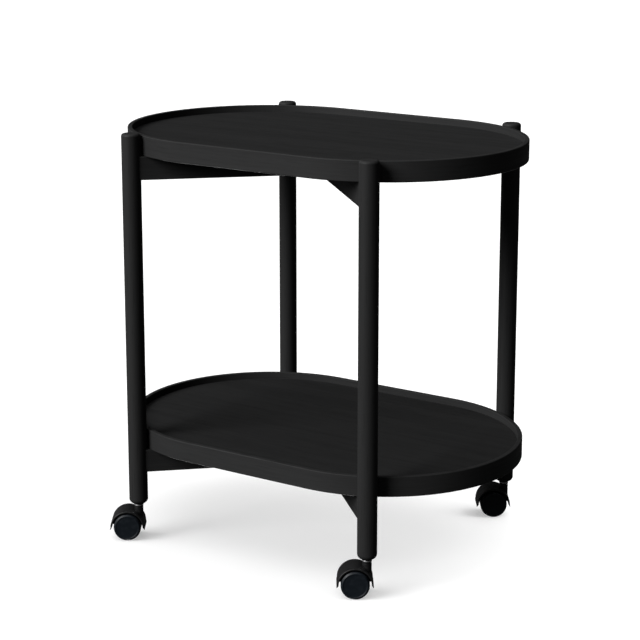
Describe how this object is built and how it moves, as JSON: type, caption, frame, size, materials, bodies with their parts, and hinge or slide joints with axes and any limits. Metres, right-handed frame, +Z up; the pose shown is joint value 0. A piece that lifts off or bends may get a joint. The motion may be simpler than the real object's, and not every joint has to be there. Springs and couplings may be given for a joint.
{
  "type": "tray table",
  "caption": "Oval tray table on swivel castors: loose reversible trays with raised rims rest one above the other on a crossed folding frame between round legs.",
  "frame": {"origin": "on the floor under the middle of the table", "axes": "+X along the trays' long axis to the right, +Y away from the viewer, +Z up"},
  "size_m": [0.61, 0.4636, 0.6025],
  "materials": {
    "leg_wood": "black-stained turned wood, satin lacquer, fine lengthwise grain",
    "bar_wood": "black-stained planed wood, satin lacquer",
    "rim_wood": "black-stained bent wood, satin lacquer, grain along the rim",
    "tray_veneer": "black-stained veneer, matt, grain along the tray",
    "tray_core": "dark-dyed board",
    "hood_plastic": "black moulded nylon, fine texture",
    "wheel_plastic": "black moulded nylon, semi-gloss",
    "socket_black": "black",
    "washer_zinc": "bright zinc",
    "pivot_nylon": "black nylon",
    "steel": "zinc-plated"
  },
  "bodies": {
    "main_frame": {"leg_front_left": "leg_wood", "castor_socket_front_left": "socket_black", "castor_stem_front_left": "steel", "castor_washer_front_left": "washer_zinc", "leg_back_right": "leg_wood", "castor_socket_back_right": "socket_black", "castor_stem_back_right": "steel", "castor_washer_back_right": "washer_zinc", "upper_bar_main": "bar_wood", "upper_pivot_bolt": "steel", "upper_pivot_nut": "steel", "upper_pivot_washer": "pivot_nylon", "lower_bar_main": "bar_wood", "lower_pivot_bolt": "steel", "lower_pivot_nut": "steel", "lower_pivot_washer": "pivot_nylon"},
    "folding_frame": {"leg_front_right": "leg_wood", "castor_socket_front_right": "socket_black", "castor_stem_front_right": "steel", "castor_washer_front_right": "washer_zinc", "leg_back_left": "leg_wood", "castor_socket_back_left": "socket_black", "castor_stem_back_left": "steel", "castor_washer_back_left": "washer_zinc", "upper_bar_folding": "bar_wood", "lower_bar_folding": "bar_wood"},
    "upper_tray": {"upper_tray_rim": "rim_wood", "upper_tray_panel": "tray_core", "upper_tray_top_face": "tray_veneer", "upper_tray_under_face": "tray_veneer"},
    "lower_tray": {"lower_tray_rim": "rim_wood", "lower_tray_panel": "tray_core", "lower_tray_top_face": "tray_veneer", "lower_tray_under_face": "tray_veneer"},
    "castor_front_left": {"castor_hood_front_left": "hood_plastic", "castor_axle_front_left": "steel"},
    "wheel_near_front_left": {"castor_wheel_near_front_left": "wheel_plastic"},
    "wheel_far_front_left": {"castor_wheel_far_front_left": "wheel_plastic"},
    "castor_front_right": {"castor_hood_front_right": "hood_plastic", "castor_axle_front_right": "steel"},
    "wheel_near_front_right": {"castor_wheel_near_front_right": "wheel_plastic"},
    "wheel_far_front_right": {"castor_wheel_far_front_right": "wheel_plastic"},
    "castor_back_left": {"castor_hood_back_left": "hood_plastic", "castor_axle_back_left": "steel"},
    "wheel_near_back_left": {"castor_wheel_near_back_left": "wheel_plastic"},
    "wheel_far_back_left": {"castor_wheel_far_back_left": "wheel_plastic"},
    "castor_back_right": {"castor_hood_back_right": "hood_plastic", "castor_axle_back_right": "steel"},
    "wheel_near_back_right": {"castor_wheel_near_back_right": "wheel_plastic"},
    "wheel_far_back_right": {"castor_wheel_far_back_right": "wheel_plastic"}
  },
  "joints": [
    {"name": "frame_fold", "type": "hinge", "parent": "main_frame", "child": "folding_frame", "pos_m": [0, 0, 0.3], "axis": [0, 0, -1], "range_deg": [0, 68]},
    {"name": "upper_tray_lift", "type": "slide", "parent": "main_frame", "child": "upper_tray", "axis": [0, 0, 1], "range_m": [0, 0.15]},
    {"name": "lower_tray_lift", "type": "slide", "parent": "main_frame", "child": "lower_tray", "axis": [0, 0, 1], "range_m": [0, 0.36]},
    {"name": "castor_swivel_front_left", "type": "hinge", "parent": "main_frame", "child": "castor_front_left", "pos_m": [-0.19949, -0.19353, 0.05], "axis": [0, 0, 1], "continuous": true},
    {"name": "wheel_spin_near_front_left", "type": "hinge", "parent": "castor_front_left", "child": "wheel_near_front_left", "pos_m": [-0.21292, -0.20259, 0.02], "axis": [0.5592, -0.829, 0], "continuous": true},
    {"name": "wheel_spin_far_front_left", "type": "hinge", "parent": "castor_front_left", "child": "wheel_far_front_left", "pos_m": [-0.21292, -0.20259, 0.02], "axis": [0.5592, -0.829, 0], "continuous": true},
    {"name": "castor_swivel_front_right", "type": "hinge", "parent": "folding_frame", "child": "castor_front_right", "pos_m": [0.19949, -0.19353, 0.05], "axis": [0, 0, 1], "continuous": true},
    {"name": "wheel_spin_near_front_right", "type": "hinge", "parent": "castor_front_right", "child": "wheel_near_front_right", "pos_m": [0.18606, -0.20259, 0.02], "axis": [0.5592, -0.829, 0], "continuous": true},
    {"name": "wheel_spin_far_front_right", "type": "hinge", "parent": "castor_front_right", "child": "wheel_far_front_right", "pos_m": [0.18606, -0.20259, 0.02], "axis": [0.5592, -0.829, 0], "continuous": true},
    {"name": "castor_swivel_back_left", "type": "hinge", "parent": "folding_frame", "child": "castor_back_left", "pos_m": [-0.19949, 0.19353, 0.05], "axis": [0, 0, 1], "continuous": true},
    {"name": "wheel_spin_near_back_left", "type": "hinge", "parent": "castor_back_left", "child": "wheel_near_back_left", "pos_m": [-0.21292, 0.20259, 0.02], "axis": [-0.5592, -0.829, 0], "continuous": true},
    {"name": "wheel_spin_far_back_left", "type": "hinge", "parent": "castor_back_left", "child": "wheel_far_back_left", "pos_m": [-0.21292, 0.20259, 0.02], "axis": [-0.5592, -0.829, 0], "continuous": true},
    {"name": "castor_swivel_back_right", "type": "hinge", "parent": "main_frame", "child": "castor_back_right", "pos_m": [0.19949, 0.19353, 0.05], "axis": [0, 0, 1], "continuous": true},
    {"name": "wheel_spin_near_back_right", "type": "hinge", "parent": "castor_back_right", "child": "wheel_near_back_right", "pos_m": [0.18606, 0.18447, 0.02], "axis": [0.5592, -0.829, 0], "continuous": true},
    {"name": "wheel_spin_far_back_right", "type": "hinge", "parent": "castor_back_right", "child": "wheel_far_back_right", "pos_m": [0.18606, 0.18447, 0.02], "axis": [0.5592, -0.829, 0], "continuous": true}
  ]
}
